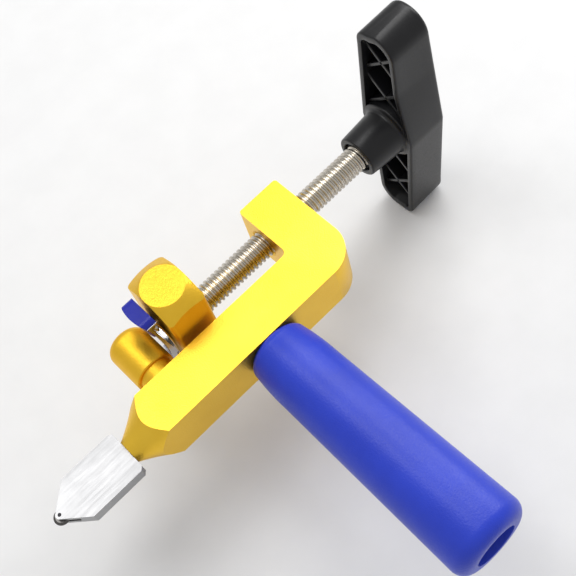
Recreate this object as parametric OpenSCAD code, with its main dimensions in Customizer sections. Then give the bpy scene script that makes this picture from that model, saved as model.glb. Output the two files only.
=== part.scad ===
// Screw-clamp glass cutter: a C-frame with a scoring head on its nose, a handle below its
// spine, and a screw-driven jaw that breaks the sheet over a round anvil.
// X runs along the clamp screw towards the knob, Y along the handle from butt to frame.
// The origin is the centre of the handle's open butt end.

/* [Handle] */
// Length of the grip from butt to frame
handle_len = 96.5; // [85:0.5:110]
// Grip radius where the neck ends
handle_neck_r = 12.7; // [12.4:0.1:13.5]
// Largest grip radius, near the butt
handle_butt_r = 14.6; // [14:0.1:16]
// Radius of the round edge at the butt
butt_round = 5; // [3:0.5:6]
// Radius of the round edge at the frame end
neck_round = 3; // [2:0.5:4]
// Radius of the open bore in the butt
grip_bore_r = 8; // [7.9:0.1:8.5]
// Depth of the open bore
grip_bore_len = 28; // [20:1:28]

/* [Frame] */
// Thickness of the frame plate
frame_t = 20; // [19:0.5:24]
// Width of the spine
spine_w = 17.8; // [17:0.1:19]
// Width of the arm along the screw
arm_w = 17.6; // [15:0.1:20]
// Inner face of the arm, from the handle axis
arm_x = 24.9; // [23:0.1:30]
// How far the arm reaches past the screw axis
arm_past = 10.6; // [9:0.1:14]
// Height of the screw axis above the inner face of the spine
throat = 13.8; // [13:0.1:16]
// Radius of the big outer corner
outer_corner_r = 12; // [8:1:14]
// Radius of the inner corner
inner_corner_r = 2.2; // [1:0.1:3]
// Radius of the small corners at the arm's end
arm_corner_r = 1.2; // [0.5:0.1:2]

/* [Nose] */
// End of the nose, from the handle axis
nose_x = -58.3; // [-62:0.1:-56]
// Radius of the nose at its end
nose_end_r = 4.3; // [3.8:0.1:5]
// Radius of the hollow curve that the nose is turned to
nose_curve_r = 60; // [50:1:90]
// Radius of the scoring head's shank
shank_r = 2.3; // [2:0.1:2.3]
// Length of the shank inside the nose
shank_len = 20; // [16:1:22]

/* [Anvil] */
// Distance of the anvil from the handle axis
anvil_x = -33.8; // [-36:0.1:-33.8]
// Radius of the anvil
anvil_r = 7.7; // [6.5:0.1:7.7]
// Radius of its neck
anvil_neck_r = 6.4; // [5:0.1:6.5]
// Length of its neck
anvil_neck_len = 5.6; // [4:0.1:7]
// How far its round end reaches past the screw axis
anvil_past = 9.8; // [9:0.1:15]
// Radius of the round edge at its free end
anvil_round = 3.6; // [2:0.1:4]

/* [Jaw] */
// Thickness of the press block along the screw
block_w = 15.6; // [14:0.1:17]
// Width of the press block across the throat
block_d = 23.2; // [20:0.1:24]
// Height of the press block
block_h = 52.4; // [49:0.1:56]
// Jaw-side face of the press block, from the handle axis
block_x = -22.4; // [-22.5:0.1:-20]
// Radius of the block's long edges
block_edge = 1.6; // [1:0.1:2]
// Drop of the conical ends between the round face and the corners
block_chamfer = 5; // [3:0.5:6]
// Height of the spring carrier without its pads
carrier_h = 45; // [43:1:46]
// Width of the spring carrier
carrier_d = 13; // [12:0.1:14]
// Thickness of the carrier's front leaf
leaf_t = 1.1; // [1:0.1:1.4]
// How far the pads stand out of the front leaf
pad_proud = 1.4; // [1:0.1:1.6]

/* [Clamp screw] */
// Radius of the clamp screw over its thread
screw_r = 4.9; // [4.5:0.1:5]
// Radius of the spigot that turns in the press block
spigot_r = 4; // [3.8:0.1:4.2]
// Length of the spigot
spigot_len = 10.5; // [10:0.1:11]

/* [Knob] */
// Start of the knob's hub, from the handle axis
hub_x = 71.4; // [66:0.1:75]
// Length of the hub in front of the bar
hub_len = 15.5; // [12:0.1:18]
// Depth of the bar along the screw
bar_depth = 17.8; // [16:0.1:20]
// Half the length of the bar
bar_half = 51.8; // [45:0.1:56]
// Half the width of the bar at its middle
bar_mid = 12.4; // [12:0.1:14]
// Half the width of the bar near its ends
bar_end = 8.5; // [8.4:0.1:10]
// Wall thickness of the hollow bar
bar_wall = 2.2; // [1.8:0.1:2.6]

/* [Scoring head] */
// Width of the flat head
head_w = 17.6; // [14:0.1:17.8]
// Thickness of the flat head
head_t = 4.8; // [4.8:0.1:6]
// Length from its back edge to the bend of its point
head_len = 21.6; // [18:0.1:24]
// Distance from the back edge to the wheel axle
axle_dist = 29.2; // [27:0.1:31]
// Radius of the round tip about the axle
tip_r = 1.5; // [1.2:0.1:1.8]
// Radius of the cutting wheel
wheel_r = 2.9; // [2.4:0.1:3.2]
// Thickness of the cutting wheel
wheel_t = 1.1; // [0.8:0.1:1.4]

/* [Hidden] */
$fn = 96;

gold = "goldenrod";
steel = "silver";
blue = "royalblue";
eps = 0.1;            // overshoot of a cutting solid
snug = 0.04;          // radial gap of a still fit
run = 0.05;           // radial gap of a running fit
arc_steps = 10;       // pieces in a quarter of a drawn arc

outer_y = handle_len;                    // outer face of the spine
inner_y = outer_y + spine_w;             // inner face of the spine
spine_y = outer_y + spine_w / 2;         // middle of the spine
screw_y = inner_y + throat;              // clamp screw axis
arm_end_x = arm_x + arm_w;
arm_top_y = screw_y + arm_past;

stud_r = 3;           // anvil stud, an M6 stud
stud_in = 9;          // its length in the spine
stud_out = 14;        // its length in the anvil
bolt_r = 4;           // handle bolt, an M8 socket screw
bolt_in = 12;         // its length in the spine
seat_r = 7.8;         // deeper counterbore of the grip
seat_y = 42;          // seat of the washer in the grip
washer_r = 7.5;
washer_t = 1.6;
spring_r = 6.8;
spring_t = 2.1;
bolt_head_r = 6.5;
bolt_head_h = 8;
bolt_key = 6;         // its hexagon socket, across flats
set_r = 2;            // head set screw, an M4 grub screw
set_key = 2;          // its hexagon socket, across flats
set_x = nose_x + 15.7;
bore_rim = 1;         // chamfer at both ends of the arm's bore
hole_tip = 0.5;       // how much deeper a blind hole is than what stands in it

pin_r = 0.95;         // retaining pins and the spigot groove that they ride in
pin_z = 4;
pin_drop = 6;         // how far they reach below the screw axis
pin_in = 0.5;         // how far their heads lie below the block's side
groove_r = 2.8;
groove_w = 2.5;
groove_in = 4.6;      // from the screw-side face of the block to the groove
block_back_x = block_x + block_w;
front_r = 103;        // curve of the carrier's front leaf
back_r = 155;         // curve of its back leaf
carrier_depth = 3.1;  // distance of the front leaf's crest from the block
carrier_front_x = block_x - carrier_depth;
carrier_back_x = block_x - 0.05;
back_leaf_t = 0.6;
pad_foot = 14;        // how far the pads' inner ends are from the screw axis
pad_cap = 1.8;        // thickness of the pad over the carrier's end
pad_tilt = 10;        // lean of the pads
pad_back = 3.9;       // reach of the pads behind the front leaf
pad_corner = 2.5;     // their corner radius, seen along the screw
carrier_screw_z = 10;
carrier_screw_r = 1.5; // carrier screws, M3 with a low head
carrier_screw_in = 6;  // their length in the block
carrier_head_r = 2.3;
carrier_head_h = 1.1;
driver_r = 2.6;       // hole in the front leaf for the screwdriver

hub_r = 8.4;          // hub radius at its free end
hub_root_r = 9.4;     // hub radius at the bar
boss_r = 11.7;        // round boss that the hub stands on
rim_x = hub_x + hub_len;
back_x = rim_x + bar_depth;
face_wall = 3;        // wall at the outer face of the bar
bar_near_r = 4;       // tight corner at each end of the bar
bar_far_r = 8;        // wide corner at each end of the bar
rib_t = 1.4;
rib_drop = 2;         // how far the ribs lie below the rim
rib_angle = 43;
rib_z = [17, 36.5];   // centres of the crossed ribs
socket_in = 2;        // shallow recess in the hub's free end
socket_rim = 2.2;     // its rim
nut_af = 17;          // width of the knob nut across its flats
nut_h = 8;
nut_x = rim_x + 2;
screw_end_x = nut_x + nut_h + 1;

head_x = nose_x - 0.1; // back edge of the head
axle_x = head_x - axle_dist;
axle_r = 0.6;
axle_proud = 0.1;     // how far the axle stands out of each side of the head
wheel_gap = 0.35;     // gap on each side of the wheel in its slot
point_angle = 52;     // angle of the head's point to its axis

function arc(cx, cy, r, a0, a1, n = arc_steps) =
    [for (i = [0:n]) let(a = a0 + (a1 - a0) * i / n) [cx + r * cos(a), cy + r * sin(a)]];

// Straight rod along X, Y or Z from a start point
module rod_x(x, y, z, r, len) {
    translate([x, y, z]) rotate([0, 90, 0]) cylinder(r = r, h = len);
}
module rod_y(x, y, z, r, len) {
    translate([x, y, z]) rotate([-90, 0, 0]) cylinder(r = r, h = len);
}
module rod_z(x, y, z, r, len) {
    translate([x, y, z]) cylinder(r = r, h = len);
}
// Cone along X
module cone_x(x, y, z, r1, r2, len) {
    translate([x, y, z]) rotate([0, 90, 0]) cylinder(r1 = r1, r2 = r2, h = len);
}
// Waste outside a round corner: the tip of the square corner is at the origin
module corner_waste(r) {
    difference() {
        translate([-r, 0]) square([r + eps, r + eps]);
        translate([-r, 0]) circle(r = r);
    }
}
// Rectangle about the origin with round corners
module round_rect(w, d, r) {
    square([w, d - 2 * r], center = true);
    square([w - 2 * r, d], center = true);
    for (sx = [-1, 1], sy = [-1, 1])
        translate([sx * (w / 2 - r), sy * (d / 2 - r)]) circle(r = r);
}
// Hexagonal bar along Z, by its width across flats
module hex(af, len) {
    cylinder(r = af / 2 / cos(30), h = len, $fn = 6);
}

// Outline of the frame plate, seen along Z
module frame_outline() {
    difference() {
        union() {
            translate([nose_x, outer_y]) square([arm_end_x - nose_x, spine_w]);
            translate([arm_x, outer_y]) square([arm_w, arm_top_y - outer_y]);
            difference() {
                translate([arm_x - inner_corner_r, inner_y]) square(inner_corner_r);
                translate([arm_x - inner_corner_r, inner_y + inner_corner_r])
                    circle(r = inner_corner_r);
            }
        }
        difference() {
            translate([arm_end_x - outer_corner_r, outer_y - eps])
                square([outer_corner_r + eps, outer_corner_r + eps]);
            translate([arm_end_x - outer_corner_r, outer_y + outer_corner_r])
                circle(r = outer_corner_r);
        }
        translate([arm_end_x, arm_top_y - arm_corner_r]) corner_waste(arm_corner_r);
        translate([arm_x, arm_top_y - arm_corner_r]) mirror([1, 0]) corner_waste(arm_corner_r);
    }
}

// Everything that the lathe takes off around the nose cone
module nose_waste() {
    turned = norm([spine_w, frame_t]) / 2 + 1;
    a0 = 26;
    a1 = acos(cos(a0) - (turned - nose_end_r) / nose_curve_r);
    curve = [for (i = [0:arc_steps]) let(a = a0 + (a1 - a0) * i / arc_steps)
        [nose_end_r + nose_curve_r * (cos(a0) - cos(a)), nose_curve_r * (sin(a) - sin(a0))]];
    translate([nose_x, spine_y, 0]) rotate([0, 90, 0]) rotate_extrude()
        polygon(concat([[nose_end_r, -eps]], curve, [[turned, -eps]]));
}

module c_frame() {
    wide = screw_r + bore_rim + eps;
    color(gold) difference() {
        translate([0, 0, -frame_t / 2]) linear_extrude(frame_t) frame_outline();
        nose_waste();
        rod_x(arm_x - eps, screw_y, 0, screw_r + run, arm_w + 2 * eps);
        cone_x(arm_x - eps, screw_y, 0, wide, screw_r, bore_rim + eps);
        cone_x(arm_end_x - bore_rim, screw_y, 0, screw_r, wide, bore_rim + eps);
        rod_x(nose_x - eps, spine_y, 0, shank_r + snug, shank_len + eps + hole_tip);
        rod_y(anvil_x, inner_y - stud_in - hole_tip, 0, stud_r + snug, stud_in + hole_tip + eps);
        rod_y(0, outer_y - eps, 0, bolt_r + snug, bolt_in + 2 * hole_tip + eps);
        rod_z(set_x, spine_y, -frame_t / 2 - eps, set_r + snug, frame_t / 2 - shank_r + eps);
    }
}

module anvil_post() {
    body_y = inner_y + anvil_neck_len;
    end_y = screw_y + anvil_past;
    body_len = end_y - body_y;
    foot = 0.4;
    color(gold) difference() {
        union() {
            rod_y(anvil_x, inner_y, 0, anvil_neck_r, anvil_neck_len + eps);
            translate([anvil_x, body_y, 0]) rotate([-90, 0, 0]) rotate_extrude() polygon(concat(
                [[0, 0], [anvil_r - foot, 0], [anvil_r, foot]],
                arc(anvil_r - anvil_round, body_len - anvil_round, anvil_round, 0, 90),
                [[0, body_len]]));
        }
        rod_y(anvil_x, inner_y - eps, 0, stud_r + snug, stud_out + hole_tip + eps);
    }
}

module anvil_stud() {
    color(steel) rod_y(anvil_x, inner_y - stud_in, 0, stud_r, stud_in + stud_out);
}

// Block with a round, cone-chamfered face at each end, like a turned nut
module press_block() {
    corner_r = norm([block_w, block_d]) / 2;
    mid_x = block_x + block_w / 2;
    face_r = block_w / 2;
    straight = block_h - 2 * block_chamfer;
    bore_len = spigot_len + 0.6;
    color(gold) difference() {
        intersection() {
            translate([mid_x, screw_y, -block_h / 2]) linear_extrude(block_h)
                round_rect(block_w, block_d, block_edge);
            union() {
                rod_z(mid_x, screw_y, -straight / 2, corner_r, straight);
                for (side = [0, 1]) mirror([0, 0, side])
                    translate([mid_x, screw_y, straight / 2])
                        cylinder(r1 = corner_r, r2 = face_r, h = block_chamfer);
            }
        }
        rod_x(block_back_x - bore_len, screw_y, 0, spigot_r + run, bore_len + eps);
        for (side = [-1, 1])
            rod_y(block_back_x - groove_in - groove_w / 2, screw_y - pin_drop, side * pin_z,
                pin_r + snug / 2, pin_drop + block_d / 2 + eps);
        for (side = [-1, 1])
            rod_x(block_x - eps, screw_y, side * carrier_screw_z, carrier_screw_r + snug,
                carrier_screw_in + hole_tip + eps);
    }
}

module retaining_pins() {
    color(steel) for (side = [-1, 1])
        rod_y(block_back_x - groove_in - groove_w / 2, screw_y - pin_drop, side * pin_z,
            pin_r, pin_drop + block_d / 2 - pin_in);
}

// A solid drawn in the XZ plane and spread evenly about the screw axis along Y
module across(width) {
    translate([0, screw_y + width / 2, 0]) rotate([90, 0, 0]) linear_extrude(width) children();
}

// Front and back faces of the carrier at a height above the screw axis
function front_at(z) = carrier_front_x - front_r + sqrt(front_r * front_r - z * z);
function back_at(z) = carrier_back_x - back_r + sqrt(back_r * back_r - z * z);

// Side view of the carrier, grown by a gap at its front and its ends
module carrier_side(gap = 0) {
    steps = 24;
    end = carrier_h / 2 + gap;
    heights = [for (i = [-steps:steps]) end * i / steps];
    polygon(concat([for (z = heights) [front_at(z) - gap, z]],
        [for (i = [len(heights) - 1:-1:0]) [back_at(heights[i]), heights[i]]]));
}

// Hollow between the two leaves above the screw axis
module carrier_hollow() {
    steps = 12;
    foot = 2.4;
    front_end = 19.4;
    back_end = 21.4;
    thick = 1.3;
    polygon(concat(
        [for (i = [0:steps]) let(z = foot + (front_end - foot) * i / steps)
            [front_at(z) + leaf_t + thick * pow(max(0, 1 - z / 12), 2), z]],
        [for (i = [steps:-1:0]) let(z = foot + (back_end - foot) * i / steps)
            [back_at(z) - back_leaf_t, z]]));
}

module pad_carrier() {
    from_x = carrier_front_x - 1;
    leaf_x = back_at(carrier_screw_z) - back_leaf_t - 0.4;
    color(steel) difference() {
        across(carrier_d) carrier_side();
        for (side = [0, 1]) mirror([0, 0, side]) {
            across(carrier_d + 2 * eps) carrier_hollow();
            rod_x(from_x, screw_y, carrier_screw_z, carrier_screw_r + 0.1, carrier_depth + 2);
            rod_x(from_x, screw_y, carrier_screw_z, driver_r, leaf_x - from_x);
        }
    }
}

module carrier_screws() {
    head_back = back_at(carrier_screw_z + carrier_head_r) - back_leaf_t;
    head_front = head_back - carrier_head_h;
    crown = 0.5;
    slot = [0.6, 2.4, 0.5];
    color(steel) for (side = [-1, 1]) difference() {
        union() {
            rod_x(head_back, screw_y, side * carrier_screw_z, carrier_screw_r,
                block_x + carrier_screw_in - head_back);
            rod_x(head_front + crown, screw_y, side * carrier_screw_z, carrier_head_r,
                carrier_head_h - crown);
            cone_x(head_front, screw_y, side * carrier_screw_z, carrier_head_r - 0.6,
                carrier_head_r, crown);
        }
        for (turn = [0, 90])
            translate([head_front, screw_y, side * carrier_screw_z]) rotate([turn, 0, 0])
                translate([-eps, -slot[1] / 2, -slot[2] / 2]) cube(slot + [eps, 0, 0]);
    }
}

// Soft pad: it covers the carrier's end and stands out of the front leaf with a curved face
module upper_pad() {
    half = carrier_d / 2;
    edge = 0.2;
    bulge = pad_proud - edge;
    face_r = (half * half + bulge * bulge) / 2 / bulge;
    spread = asin(half / face_r);
    high = half - pad_corner;
    top = carrier_h / 2 + pad_cap;
    mid_z = (pad_foot + top) / 2;
    from_x = carrier_front_x - 9;
    color(blue) difference() {
        intersection() {
            translate([front_at(mid_z), screw_y, mid_z]) rotate([0, -pad_tilt, 0])
                linear_extrude(2 * top, center = true) polygon(concat(
                    arc(face_r - pad_proud, 0, face_r, 180 - spread, 180 + spread),
                    [[pad_back, -half], [pad_back, half]]));
            translate([from_x, screw_y, 0]) rotate([90, 0, 90]) linear_extrude(2 * half)
                polygon(concat(
                    arc(high, top - pad_corner, pad_corner, 0, 90),
                    arc(-high, top - pad_corner, pad_corner, 90, 180),
                    arc(-high, pad_foot + pad_corner, pad_corner, 180, 270),
                    arc(high, pad_foot + pad_corner, pad_corner, 270, 360)));
            translate([from_x, screw_y - half - eps, 0])
                cube([block_x - 0.3 - from_x, 2 * (half + eps), 2 * top]);
        }
        across(carrier_d + 2 * eps) {
            carrier_side(0.05);
            translate([carrier_back_x - 3, 0]) square([6, carrier_h / 2 + 0.05]);
        }
    }
}
module lower_pad() { mirror([0, 0, 1]) upper_pad(); }

// Clamp screw: rod on its thread's outside radius, with a grooved spigot in the press block
module clamp_screw() {
    lead = 0.8;
    tip = 0.5;
    face_x = block_back_x + 0.3;
    spigot_x = block_back_x - spigot_len;
    groove_x = block_back_x - groove_in - groove_w;
    color(steel) difference() {
        union() {
            cone_x(face_x, screw_y, 0, screw_r - lead, screw_r, lead);
            rod_x(face_x + lead, screw_y, 0, screw_r, screw_end_x - face_x - lead);
            rod_x(spigot_x + tip, screw_y, 0, spigot_r, spigot_len + tip);
            cone_x(spigot_x, screw_y, 0, spigot_r - tip, spigot_r, tip);
        }
        difference() {
            rod_x(groove_x, screw_y, 0, spigot_r + 1, groove_w);
            rod_x(groove_x - eps, screw_y, 0, groove_r, groove_w + 2 * eps);
        }
    }
}

// Half the outline of the knob's bar in the YZ plane, drawn inset by a wall thickness:
// a straight near side, the end with its two corners, and a far side that flares to the middle
bar_waist = [[-0.3, 30], [0.7, 20]];     // growth of the far side over bar_end, and its height
function bar_side(d) = concat(
    [[bar_mid - d, -1], [bar_end - d + 0.3, bar_half - 2 * bar_near_r]],
    arc(bar_end - bar_near_r, bar_half - bar_near_r, bar_near_r - d, 10, 90),
    arc(-(bar_end - bar_far_r), bar_half - bar_far_r, bar_far_r - d, 90, 175),
    [for (p = bar_waist) [-(bar_end + p[0] - d), p[1]]]);
function bar_outline(d) = concat(bar_side(d), [for (p = bar_side(d)) -p]);

module along_knob(from, len) {
    translate([from, screw_y, 0]) rotate([90, 0, 90]) linear_extrude(len) children();
}

module knob() {
    inner_len = bar_depth - face_wall;
    color("dimgray") difference() {
        union() {
            difference() {
                along_knob(rim_x, bar_depth) polygon(bar_outline(0));
                along_knob(rim_x - eps, inner_len + eps) polygon(bar_outline(bar_wall));
            }
            along_knob(rim_x + rib_drop, inner_len - rib_drop + eps) intersection() {
                polygon(bar_outline(bar_wall / 2));
                for (side = [-1, 1], z = rib_z, turn = [-rib_angle, rib_angle])
                    translate([0, side * z]) rotate(turn)
                        translate([-2 * bar_mid, -rib_t / 2]) square([4 * bar_mid, rib_t]);
            }
            cone_x(hub_x, screw_y, 0, hub_r, hub_root_r, hub_len);
            rod_x(rim_x, screw_y, 0, boss_r, inner_len + eps);
        }
        rod_x(hub_x - eps, screw_y, 0, screw_r + snug, screw_end_x - hub_x + 0.3 + eps);
        rod_x(hub_x - eps, screw_y, 0, hub_r - socket_rim, socket_in + eps);
        translate([nut_x - snug, screw_y, 0]) rotate([0, 90, 0])
            hex(nut_af + 2 * snug, nut_h + 2 * snug);
    }
}

module knob_nut() {
    color(steel) difference() {
        translate([nut_x, screw_y, 0]) rotate([0, 90, 0]) hex(nut_af, nut_h);
        rod_x(nut_x - eps, screw_y, 0, screw_r + snug, nut_h + 2 * eps);
    }
}

// Grip with a round butt, a slight taper and a necked end at the frame
module handle_grip() {
    neck_in = 1.9;
    swell = 1.1;
    swell_len = 14;
    neck_r = handle_neck_r - swell;
    neck_y = handle_len - neck_round;
    color(blue) difference() {
        rotate([-90, 0, 0]) rotate_extrude() polygon(concat(
            [[0, 0]],
            arc(handle_butt_r - butt_round, butt_round, butt_round, -90, 0),
            [for (i = [0:arc_steps]) let(t = i / arc_steps)
                [handle_neck_r - swell * t * t, neck_y - swell_len * (1 - t)]],
            arc(neck_r - neck_round, neck_y, neck_round, 5,
                acos((neck_round - neck_in) / neck_round)),
            [[neck_r - neck_in, handle_len], [0, handle_len]]));
        rod_y(0, -eps, 0, grip_bore_r, grip_bore_len + eps);
        rod_y(0, grip_bore_len - eps, 0, seat_r, seat_y - grip_bore_len + eps);
        rod_y(0, seat_y - eps, 0, bolt_r + 0.2, handle_len - seat_y + 2 * eps);
    }
}

module handle_bolt() {
    head_y = seat_y - washer_t - spring_t - bolt_head_h;
    color(steel) difference() {
        union() {
            rod_y(0, head_y, 0, bolt_head_r, bolt_head_h);
            rod_y(0, head_y + eps, 0, bolt_r, outer_y + bolt_in - head_y);
        }
        translate([0, head_y - eps, 0]) rotate([-90, 0, 0]) hex(bolt_key, bolt_head_h / 2 + eps);
    }
}

module handle_washer() {
    color(steel) difference() {
        rod_y(0, seat_y - washer_t, 0, washer_r, washer_t);
        rod_y(0, seat_y - washer_t - eps, 0, bolt_r + 0.2, washer_t + 2 * eps);
    }
}

module handle_spring_washer() {
    y = seat_y - washer_t - spring_t;
    split = [1, 2 * spring_t, spring_r];
    split_lean = 18;
    color(steel) difference() {
        rod_y(0, y, 0, spring_r, spring_t);
        rod_y(0, y - eps, 0, bolt_r + 0.15, spring_t + 2 * eps);
        translate([0, y + spring_t / 2, 0]) rotate([0, 0, split_lean])
            translate([0, 0, split[2] / 2 + 1]) cube(split, center = true);
    }
}

// Flat outline of the scoring head, with its point about the wheel axle
module head_outline() {
    half = head_w / 2;
    bend_x = head_x - head_len;
    back = 1.2;
    polygon(concat(
        [[head_x, spine_y - half + back], [head_x, spine_y + half - back]],
        [[head_x - back, spine_y + half], [bend_x, spine_y + half]],
        arc(axle_x, spine_y, tip_r, 90 + point_angle, 270 - point_angle),
        [[bend_x, spine_y - half], [head_x - back, spine_y - half]]));
}

module scoring_head() {
    slot_w = wheel_t + 2 * wheel_gap;
    slot = [2 * wheel_r + 2, 2 * head_w, slot_w];
    root = 4;
    color(steel) difference() {
        union() {
            translate([0, 0, -head_t / 2]) linear_extrude(head_t) head_outline();
            rod_x(head_x - root, spine_y, 0, shank_r, nose_x + shank_len - head_x + root);
        }
        translate([axle_x - slot[0] / 2, spine_y - head_w, -slot_w / 2]) cube(slot);
        rod_z(axle_x, spine_y, -head_t, axle_r + snug, 2 * head_t);
    }
}

module cutting_wheel() {
    bevel = 0.45;
    face_r = wheel_r - 0.8;
    color("gray") difference() {
        translate([axle_x, spine_y, -wheel_t / 2]) rotate_extrude() polygon([[0, 0], [face_r, 0],
            [wheel_r, bevel], [wheel_r, wheel_t - bevel], [face_r, wheel_t], [0, wheel_t]]);
        rod_z(axle_x, spine_y, -wheel_t, axle_r + run, 2 * wheel_t);
    }
}

module wheel_axle() {
    color("dimgray")
        rod_z(axle_x, spine_y, -head_t / 2 - axle_proud, axle_r, head_t + 2 * axle_proud);
}

module head_set_screw() {
    sunk = 1;
    low_z = sunk - frame_t / 2;
    color("dimgray") difference() {
        rod_z(set_x, spine_y, low_z, set_r, -shank_r - 0.2 - low_z);
        translate([set_x, spine_y, low_z - eps]) hex(set_key, 2 + eps);
    }
}

c_frame();
anvil_post();
anvil_stud();
press_block();
retaining_pins();
pad_carrier();
carrier_screws();
upper_pad();
lower_pad();
clamp_screw();
knob();
knob_nut();
handle_grip();
handle_bolt();
handle_washer();
handle_spring_washer();
scoring_head();
cutting_wheel();
wheel_axle();
head_set_screw();
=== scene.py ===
import math

import bmesh
import bpy
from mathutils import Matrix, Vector


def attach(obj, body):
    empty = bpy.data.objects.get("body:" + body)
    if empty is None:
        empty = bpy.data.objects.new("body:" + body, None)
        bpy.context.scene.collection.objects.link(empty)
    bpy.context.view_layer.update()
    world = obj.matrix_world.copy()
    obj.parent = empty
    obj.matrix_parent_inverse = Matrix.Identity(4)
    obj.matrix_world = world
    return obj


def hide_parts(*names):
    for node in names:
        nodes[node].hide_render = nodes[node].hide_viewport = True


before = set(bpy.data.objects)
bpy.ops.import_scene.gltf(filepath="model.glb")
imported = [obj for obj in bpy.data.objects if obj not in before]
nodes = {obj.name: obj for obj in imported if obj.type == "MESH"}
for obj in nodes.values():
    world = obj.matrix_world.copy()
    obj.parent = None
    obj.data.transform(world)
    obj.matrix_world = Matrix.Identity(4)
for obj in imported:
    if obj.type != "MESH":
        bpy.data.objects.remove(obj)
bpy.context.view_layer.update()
scene = bpy.context.scene
MM = 0.001

# ---------------------------------------------------------------- materials

MOTTLE_SCALE = 60.0


def new_material(name):
    """A material with a Principled shader wired to its output."""
    material = bpy.data.materials.new(name)
    material.use_nodes = True
    tree = material.node_tree
    tree.nodes.clear()
    output = tree.nodes.new("ShaderNodeOutputMaterial")
    shader = tree.nodes.new("ShaderNodeBsdfPrincipled")
    tree.links.new(shader.outputs[0], output.inputs[0])
    return material, tree, shader


def add_node(tree, kind, **inputs):
    """Add a shader node and set the inputs named; an underscore in a key stands for a space."""
    node = tree.nodes.new(kind)
    for key, value in inputs.items():
        node.inputs[key.replace("_", " ")].default_value = value
    return node


def noise(tree, coords, scale, detail, rough, stretch=None):
    """Noise over the object's own coordinates, drawn out along an axis where stretch is given."""
    node = add_node(tree, "ShaderNodeTexNoise", Scale=scale, Detail=detail, Roughness=rough)
    if stretch is not None:
        mapping = add_node(tree, "ShaderNodeMapping", Scale=stretch)
        tree.links.new(coords, mapping.inputs["Vector"])
        coords = mapping.outputs[0]
    tree.links.new(coords, node.inputs["Vector"])
    return node.outputs["Fac"]


def ramp(tree, factor, low, high, low_colour, high_colour):
    """Blend from one colour to the other as the factor goes from low to high."""
    node = add_node(tree, "ShaderNodeValToRGB")
    ends = node.color_ramp.elements
    ends[0].position = low
    ends[1].position = high
    ends[0].color = (*low_colour, 1)
    ends[1].color = (*high_colour, 1)
    tree.links.new(factor, node.inputs[0])
    return node.outputs[0]


def map_range(tree, value, from_min, from_max, to_min, to_max):
    """Map a value from one range onto another."""
    ranges = {"From_Min": from_min, "From_Max": from_max, "To_Min": to_min, "To_Max": to_max}
    node = add_node(tree, "ShaderNodeMapRange", **ranges)
    tree.links.new(value, node.inputs["Value"])
    return node.outputs[0]


def finish_surface(name, colour, dark, metallic, rough, spread, grain_scale, grain,
                   stretch=None, specular=0.5, grain_depth=0.00002):
    """Colour mottled between two tones, roughness broken up by fine noise, and a fine grain in the bump."""
    material, tree, shader = new_material(name)
    coords = add_node(tree, "ShaderNodeTexCoord").outputs["Object"]
    tone = noise(tree, coords, MOTTLE_SCALE, detail=4.0, rough=0.55)
    tree.links.new(ramp(tree, tone, 0.35, 0.65, dark, colour), shader.inputs["Base Color"])
    shader.inputs["Metallic"].default_value = metallic
    shader.inputs["Specular IOR Level"].default_value = specular
    fine = noise(tree, coords, grain_scale, detail=2.0, rough=0.6, stretch=stretch)
    roughness = map_range(tree, fine, 0.3, 0.7, rough - spread, rough + spread)
    tree.links.new(roughness, shader.inputs["Roughness"])
    bump = add_node(tree, "ShaderNodeBump", Strength=grain, Distance=grain_depth)
    tree.links.new(fine, bump.inputs["Height"])
    tree.links.new(bump.outputs[0], shader.inputs["Normal"])
    return material


GOLD = finish_surface(
    "gold_anodised", (0.93, 0.60, 0.060), (0.88, 0.55, 0.048), metallic=1.0,
    rough=0.37, spread=0.07, grain_scale=1700, grain=1.0, grain_depth=0.00008,
)
BLOCK = finish_surface(
    "gold_block", (0.93, 0.58, 0.050), (0.88, 0.53, 0.040), metallic=1.0,
    rough=0.36, spread=0.06, grain_scale=1700, grain=1.0, grain_depth=0.00006,
)
TURNED = finish_surface(
    "gold_turned", (0.94, 0.58, 0.048), (0.89, 0.53, 0.034), metallic=1.0,
    rough=0.46, spread=0.05, grain_scale=1700, grain=1.0, grain_depth=0.00008,
)
BLUE = finish_surface(
    "blue_grip", (0.018, 0.047, 0.53), (0.015, 0.040, 0.47), metallic=0.0,
    rough=0.36, spread=0.07, grain_scale=1500, grain=1.0, specular=0.36, grain_depth=0.00008,
)
PAD = finish_surface(
    "blue_pad", (0.003, 0.010, 0.30), (0.002, 0.008, 0.26), metallic=0.0,
    rough=0.24, spread=0.03, grain_scale=1500, grain=0.1,
)
BLACK = finish_surface(
    "black_plastic", (0.009, 0.009, 0.010), (0.005, 0.005, 0.006), metallic=0.0,
    rough=0.34, spread=0.05, grain_scale=1400, grain=0.4, specular=0.34,
)
CHROME = finish_surface(
    "chrome", (0.82, 0.82, 0.84), (0.70, 0.70, 0.72), metallic=1.0,
    rough=0.14, spread=0.05, grain_scale=900, grain=0.15, stretch=(1, 1, 0.1),
)
NICKEL = finish_surface(
    "nickel_plate", (0.60, 0.56, 0.49), (0.50, 0.46, 0.40), metallic=1.0,
    rough=0.26, spread=0.04, grain_scale=1200, grain=0.1,
)
STEEL = finish_surface(
    "head_steel", (0.46, 0.46, 0.465), (0.38, 0.38, 0.385), metallic=1.0,
    rough=0.42, spread=0.05, grain_scale=1500, grain=0.4, stretch=(0.06, 1, 1),
)
DARK = finish_surface(
    "black_oxide", (0.03, 0.03, 0.033), (0.015, 0.015, 0.017), metallic=0.9,
    rough=0.38, spread=0.06, grain_scale=1300, grain=0.3,
)
CARBIDE = finish_surface(
    "carbide", (0.13, 0.125, 0.12), (0.07, 0.068, 0.066), metallic=1.0,
    rough=0.3, spread=0.06, grain_scale=2200, grain=0.3,
)

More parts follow.
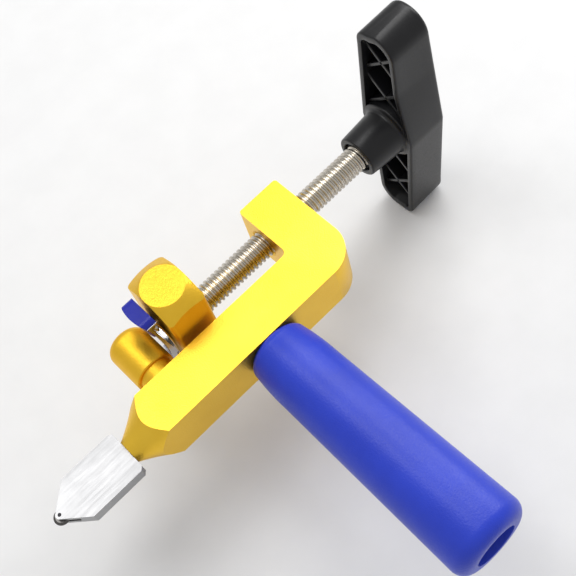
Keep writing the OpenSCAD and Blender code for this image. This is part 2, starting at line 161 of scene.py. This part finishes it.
# finish of each node, and the width of its broken edges in mm
NODE_LOOKS = {
    "c_frame": (GOLD, 0.5),
    "anvil_post": (TURNED, 0.3),
    "anvil_stud": (NICKEL, 0.3),
    "press_block": (BLOCK, 0.4),
    "retaining_pins": (NICKEL, 0.1),
    "pad_carrier": (CHROME, 0.12),
    "carrier_screws": (NICKEL, 0.12),
    "upper_pad": (PAD, 0.35),
    "lower_pad": (PAD, 0.35),
    "clamp_screw": (NICKEL, 0.2),
    "knob": (BLACK, 0.7),
    "knob_nut": (NICKEL, 0.3),
    "handle_grip": (BLUE, 1.5),
    "handle_bolt": (DARK, 0.3),
    "handle_washer": (NICKEL, 0.15),
    "handle_spring_washer": (NICKEL, 0.15),
    "scoring_head": (STEEL, 0.25),
    "cutting_wheel": (CARBIDE, 0.05),
    "wheel_axle": (DARK, 0.1),
    "head_set_screw": (DARK, 0.15),
}
WIDE_EDGE = 0.7  # mm; a wider edge than this gets more segments
EDGE_ANGLE = math.radians(35)
for name, obj in nodes.items():
    finish, edge_width = NODE_LOOKS[name]
    obj.data.materials.clear()
    obj.data.materials.append(finish)
    weld = obj.modifiers.new("weld", "WELD")
    weld.merge_threshold = 2e-6
    bevel = obj.modifiers.new("edge", "BEVEL")
    bevel.width = edge_width * MM
    bevel.segments = 4 if edge_width > WIDE_EDGE else 2
    bevel.limit_method = "ANGLE"
    bevel.angle_limit = EDGE_ANGLE

# ---------------------------------------------------------------- mesh helpers, all in mm

SCREW_Y = 128.1  # where the clamp screw's axis is in y; it runs along x, at z = 0
SHARP_ANGLE = math.radians(38)


def mesh_object(name, verts, faces, material, smooth=True):
    """Object from vertices in mm, with its normals out and sharp edges kept where it is smooth."""
    mesh = bpy.data.meshes.new(name)
    mesh.from_pydata([tuple(c * MM for c in v) for v in verts], [], faces)
    mesh.update()
    work = bmesh.new()
    work.from_mesh(mesh)
    bmesh.ops.recalc_face_normals(work, faces=work.faces)
    work.to_mesh(mesh)
    work.free()
    for poly in mesh.polygons:
        poly.use_smooth = smooth
    if smooth:
        mesh.set_sharp_from_angle(angle=SHARP_ANGLE)
    obj = bpy.data.objects.new(name, mesh)
    scene.collection.objects.link(obj)
    mesh.materials.append(material)
    return obj


def about_screw(x, radius, k, around):
    """Point k of a ring of so many points about the screw's axis."""
    angle = 2 * math.pi * k / around
    return (x, SCREW_Y + radius * math.cos(angle), radius * math.sin(angle))


def skin(ring_count, around):
    """Faces between rings of vertices that follow one another."""
    faces = []
    for ring in range(ring_count - 1):
        low, high = ring * around, (ring + 1) * around
        for i in range(around):
            j = (i + 1) % around
            faces.append((low + i, low + j, high + j, high + i))
    return faces


def revolve(profile, around):
    """Skin of revolution about the screw's axis; profile is [(x, radius)]."""
    verts = [about_screw(x, radius, k, around) for x, radius in profile for k in range(around)]
    return verts, skin(len(profile), around)


def arc(centre, radius, start, stop, steps):
    """Points of an arc about a centre, between two angles in degrees."""
    points = []
    for i in range(steps + 1):
        angle = math.radians(start + (stop - start) * i / steps)
        points.append((centre[0] + radius * math.cos(angle), centre[1] + radius * math.sin(angle)))
    return points


# ---------------------------------------------------------------- clamp screw with its thread

PITCH = 1.8
CREST_R = 4.9
CORE_R = 4.1
THREAD_START = -6.5
THREAD_END = 97.8
RUNOUT = 0.8  # length over which the thread rises from the core at each end
SCREW_AROUND = 48
# one pitch of the thread: (fraction of the pitch, radius), with a flat crest and a rounded root
THREAD = [
    (0.0, 4.20), (0.08, 4.21), (0.15, 4.29), (0.27, 4.74), (0.34, 4.87), (0.42, CREST_R),
    (0.58, CREST_R), (0.66, 4.87), (0.73, 4.74), (0.85, 4.29), (0.92, 4.21),
]
SPIGOT_R = 4.0
GROOVE_R = 2.8
# the plain end inside the knob, the core, and the spigot with its groove at the jaw end: (x, radius)
SCREW_CORE = [
    (THREAD_END - 0.05, 0.0), (THREAD_END - 0.05, CORE_R), (THREAD_START + 0.3, 3.9),
    (THREAD_START + 0.05, SPIGOT_R), (-11.3, SPIGOT_R), (-11.4, GROOVE_R), (-13.9, GROOVE_R),
    (-14.0, SPIGOT_R), (-16.8, SPIGOT_R), (-17.3, 3.5), (-17.3, 0.0),
]


def make_screw():
    """A right-hand thread as one helical skin, and the core and spigot as a second one inside it."""
    per_turn = len(THREAD)
    turns = math.ceil((THREAD_END - THREAD_START) / PITCH) + 2
    verts, faces = [], []
    for turn in range(turns):
        for part, radius in THREAD:
            for k in range(SCREW_AROUND):
                x = THREAD_START + (turn - 1 + part + k / SCREW_AROUND) * PITCH
                x = min(THREAD_END, max(THREAD_START, x))
                rise = min(1.0, (x - THREAD_START) / RUNOUT, (THREAD_END - x) / RUNOUT)
                highest = CORE_R + (CREST_R - CORE_R) * rise
                verts.append(about_screw(x, min(radius, highest), k, SCREW_AROUND))
    for i in range((turns - 1) * per_turn - 1):
        for k in range(SCREW_AROUND):
            low, high = i * SCREW_AROUND + k, (i + 1) * SCREW_AROUND + k
            # the last column joins the first column one turn further on
            step = 1 if k < SCREW_AROUND - 1 else per_turn * SCREW_AROUND - SCREW_AROUND + 1
            faces.append((low, low + step, high + step, high))
    base = len(verts)
    core_verts, core_faces = revolve(SCREW_CORE, SCREW_AROUND)
    verts += core_verts
    faces += [tuple(base + i for i in face) for face in core_faces]
    return verts, faces


thread = mesh_object("screw_thread", *make_screw(), NICKEL)
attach(thread, "screw")
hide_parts("clamp_screw")

# ---------------------------------------------------------------- knob

RIM_X = 86.9  # the bar's open rim, towards the jaw
BACK_X = 104.7  # the bar's outer face
BAR_HALF = 51.8
MIDDLE_Y = 12.3  # half the bar's width at its middle
END_Y = 8.5  # and at its ends
FAR_R = 8.0  # corner radius on the bar's far side, at the rim
NEAR_GROWTH = 1.5  # how much the near corner's radius grows from the rim to the outer face
FAR_GROWTH = 1.0  # and the far corner's
FLARE_Z = 27.0  # from here to the middle the far side of the rim swells
SIDE_STEPS = 26
WALL = 2.2
CAVITY = 14.8  # depth of the hollow
CAVITY_SHARE = 0.98  # the hollow's length, as a share of what the walls alone would leave
RIM_ROUND = 0.75
FACE_ROUND = 1.7
SIDE_RINGS = 8

RIB_THICK = 1.4
RIB_SLOPE = 43
RIB_CROSSINGS = (-36.5, -17.0, 17.0, 36.5)
# the ribs from their edge down into the hollow's floor: (x, share of the thickness)
RIB_LEVELS = ((RIM_X + 2.0, 0.72), (RIM_X + 2.25, 1.0), (RIM_X + CAVITY + 0.3, 1.25))

HUB_X = 71.4  # the hub's free end
HUB_R = 8.4
HUB_ROUND = 0.8
HUB_AROUND = 96


def half_outline(back, corner_r, drop):
    """Half of the bar's outline as (y, z): near side, end and far side, from the middle to the end and back.

    corner_r is the near corner's radius at the rim, and drop is how much lower that corner sits there.
    """
    near_r = corner_r + NEAR_GROWTH * back
    far_r = FAR_R + FAR_GROWTH * back
    near_z = BAR_HALF - near_r - drop * (1 - back)
    far_z = BAR_HALF - far_r
    half = []
    for i in range(SIDE_STEPS):
        t = i / SIDE_STEPS
        half.append((MIDDLE_Y + (END_Y - MIDDLE_Y) * t, (near_z - 1.0) * t))
    half += arc((END_Y - near_r, near_z), near_r, 8, 90, 12)
    half += arc((far_r - END_Y, far_z), far_r, 90, 176, 20)
    for i in range(1, SIDE_STEPS):
        t = i / SIDE_STEPS
        z = far_z * (1 - t)
        straight = END_Y + (MIDDLE_Y - END_Y) * t
        u = max(0.0, 1 - z / FLARE_Z)
        flared = END_Y + (MIDDLE_Y - END_Y) * (u * u * (3 - 2 * u) * 0.35 + u * 0.65)
        half.append((-(flared + (straight - flared) * back), z))
    return half


def bar_outline(back):
    """Outline of the knob's bar in (y, z); back runs from 0 at the open rim to 1 at the outer face."""
    upper = half_outline(back, corner_r=5.5, drop=1.4)
    lower = half_outline(back, corner_r=4.0, drop=0.3)
    return upper + [(-y, -z) for y, z in lower]


def inset(points, distance):
    """Points of a closed outline moved inwards."""
    moved = []
    for i, (y, z) in enumerate(points):
        before_y, before_z = points[i - 1]
        after_y, after_z = points[(i + 1) % len(points)]
        along_y, along_z = after_y - before_y, after_z - before_z
        length = math.hypot(along_y, along_z)
        moved.append((y - along_z / length * distance, z + along_y / length * distance))
    return moved


def make_bar():
    """The hollow bar as one closed skin: the hollow's floor and wall, the rim, the side and the face."""
    rim = bar_outline(0)
    floor_x = RIM_X + CAVITY
    hollow = (
        (floor_x, WALL + 0.5),
        (floor_x - 0.6, WALL + 0.1),
        (RIM_X + 0.5, WALL),
        (RIM_X + 0.12, WALL - 0.12),
        (RIM_X, WALL - 0.5),
    )
    rings = []
    for x, wall in hollow:
        rings.append((x, [(y, z * CAVITY_SHARE) for y, z in inset(rim, wall)]))
    rings.append((RIM_X, inset(rim, RIM_ROUND)))
    for degrees in (22, 45, 68, 90):
        angle = math.radians(degrees)
        x = RIM_X + RIM_ROUND * (1 - math.cos(angle))
        rings.append((x, inset(rim, RIM_ROUND * (1 - math.sin(angle)))))
    depth = BACK_X - RIM_X
    for i in range(1, SIDE_RINGS + 1):
        t = i / SIDE_RINGS
        x = RIM_X + RIM_ROUND + (depth - RIM_ROUND - FACE_ROUND) * t
        rings.append((x, bar_outline((x - RIM_X) / depth)))
    for degrees in range(15, 91, 15):
        angle = math.radians(degrees)
        x = BACK_X - FACE_ROUND * (1 - math.sin(angle))
        rings.append((x, inset(bar_outline((x - RIM_X) / depth), FACE_ROUND * (1 - math.cos(angle)))))
    around = len(rim)
    verts = [(x, SCREW_Y + y, z) for x, ring in rings for y, z in ring]
    faces = skin(len(rings), around)
    last = (len(rings) - 1) * around
    faces.append(tuple(range(around)))
    faces.append(tuple(range(last, last + around)))
    return verts, faces


def cross(points, middle_z, slope):
    """The two points where a rib's centre line meets a closed outline."""
    along_y, along_z = math.cos(math.radians(slope)), math.sin(math.radians(slope))
    hits = []
    for i, (ay, az) in enumerate(points):
        by, bz = points[(i + 1) % len(points)]
        a_side = ay * along_z - (az - middle_z) * along_y
        b_side = by * along_z - (bz - middle_z) * along_y
        if (a_side <= 0) != (b_side <= 0):
            t = a_side / (a_side - b_side)
            hits.append((ay + (by - ay) * t, az + (bz - az) * t))
    hits.sort()
    return hits[0], hits[-1]


def make_ribs():
    """Two straight ribs at each crossing, from wall to wall and down into the hollow's floor."""
    verts, faces = [], []
    inner = inset(bar_outline(0), WALL - 0.2)
    for middle_z in RIB_CROSSINGS:
        for slope in (-RIB_SLOPE, RIB_SLOPE):
            (ay, az), (by, bz) = cross(inner, middle_z, slope)
            length = math.hypot(by - ay, bz - az)
            side_y = -(bz - az) / length * RIB_THICK / 2
            side_z = (by - ay) / length * RIB_THICK / 2
            base = len(verts)
            for x, share in RIB_LEVELS:
                dy, dz = side_y * share, side_z * share
                corners = ((ay + dy, az + dz), (by + dy, bz + dz), (by - dy, bz - dz), (ay - dy, az - dz))
                verts += [(x, SCREW_Y + y, z) for y, z in corners]
            faces.append(tuple(range(base, base + 4)))
            for low in (base, base + 4):
                for i in range(4):
                    j = (i + 1) % 4
                    faces.append((low + i, low + 4 + i, low + 4 + j, low + j))
    return verts, faces


def make_hub():
    """The hub from the bore's mouth over its free end, along its cone and out into the hollow."""
    profile = [
        (HUB_X + 2.0, 4.95), (HUB_X + 2.0, 5.8), (HUB_X + 1.8, 6.0), (HUB_X + 0.3, 6.15), (HUB_X, 6.45),
    ]
    profile += arc((HUB_X + HUB_ROUND, HUB_R - HUB_ROUND), HUB_ROUND, 180, 92, 6)
    profile += [(HUB_X + 4, 8.65), (HUB_X + 8, 8.9), (HUB_X + 12, 9.2)]
    profile += arc((RIM_X - 1.5, 10.75), 1.4, -88, 0, 6)
    profile += arc((RIM_X + 0.6, 11.1), 0.6, 180, 90, 6)
    profile += [(RIM_X + 5, 11.8), (RIM_X + CAVITY + 0.2, 12.0)]
    return revolve(profile, HUB_AROUND)


bar_obj = mesh_object("knob_bar", *make_bar(), BLACK)
rib_obj = mesh_object("knob_ribs", *make_ribs(), BLACK, smooth=False)
hub_obj = mesh_object("knob_hub", *make_hub(), BLACK)
for piece in (bar_obj, rib_obj, hub_obj):
    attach(piece, "screw")
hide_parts("knob")

# ---------------------------------------------------------------- stage, in metres

FLOOR_Z = -0.0523  # half a millimetre under the knob's lower end
FLOOR_HALF = 3  # half the floor's side
WORLD_STRENGTH = 0.62
LIGHT_TARGET = Vector((0.0, 0.08, 0.0))
LIGHT_DISTANCE = 0.9

floor_corners = [(x * FLOOR_HALF, y * FLOOR_HALF, FLOOR_Z) for x, y in ((-1, -1), (1, -1), (1, 1), (-1, 1))]
floor_mesh = bpy.data.meshes.new("floor")
floor_mesh.from_pydata(floor_corners, [], [(0, 1, 2, 3)])
floor = bpy.data.objects.new("floor", floor_mesh)
scene.collection.objects.link(floor)
FLOOR = finish_surface(
    "pale_floor", (0.76, 0.76, 0.76), (0.74, 0.74, 0.74), metallic=0.0,
    rough=0.7, spread=0.05, grain_scale=300, grain=0.05,
)
floor_mesh.materials.append(FLOOR)

world = bpy.data.worlds.new("studio")
scene.world = world
world.use_nodes = True
background = world.node_tree.nodes["Background"]
background.inputs["Color"].default_value = (1.0, 1.0, 1.0, 1)
background.inputs["Strength"].default_value = WORLD_STRENGTH
scene.view_settings.view_transform = "Standard"


def area_light(name, direction, width, height, power):
    """A white panel that faces the target, at the light distance in the direction given."""
    data = bpy.data.lights.new(name, "AREA")
    data.shape = "RECTANGLE"
    data.size = width
    data.size_y = height
    data.energy = power
    obj = bpy.data.objects.new(name, data)
    scene.collection.objects.link(obj)
    away = Vector(direction).normalized()
    obj.location = LIGHT_TARGET + away * LIGHT_DISTANCE
    obj.rotation_mode = "QUATERNION"
    obj.rotation_quaternion = (-away).to_track_quat("-Z", "Y")


area_light("key_left", (-0.15, 0.36, 0.93), width=0.3, height=0.6, power=2.1)
area_light("key_right", (0.46, 0.34, 0.82), width=0.36, height=0.6, power=2.9)
area_light("side_right", (0.86, 0.16, 0.48), width=0.3, height=0.5, power=2.2)

# ---------------------------------------------------------------- camera

# where the photo was taken from, as fitted to the frame's edges, the bores and the handle
# place in metres, turn in degrees about x, y and z
CAMERA_PLACE = (-0.05937145, -0.05182975, 0.32698981)
CAMERA_TURN = (27.098887, 9.698601, -43.960207)
FOCAL_LENGTH = 67.945
SENSOR_WIDTH = 36.0

camera_data = bpy.data.cameras.new("camera")
camera_data.sensor_width = SENSOR_WIDTH
camera_data.lens = FOCAL_LENGTH
camera_data.clip_start = 0.01
camera_data.clip_end = 20
camera = bpy.data.objects.new("camera", camera_data)
scene.collection.objects.link(camera)
camera.location = CAMERA_PLACE
camera.rotation_euler = [math.radians(degrees) for degrees in CAMERA_TURN]
scene.camera = camera
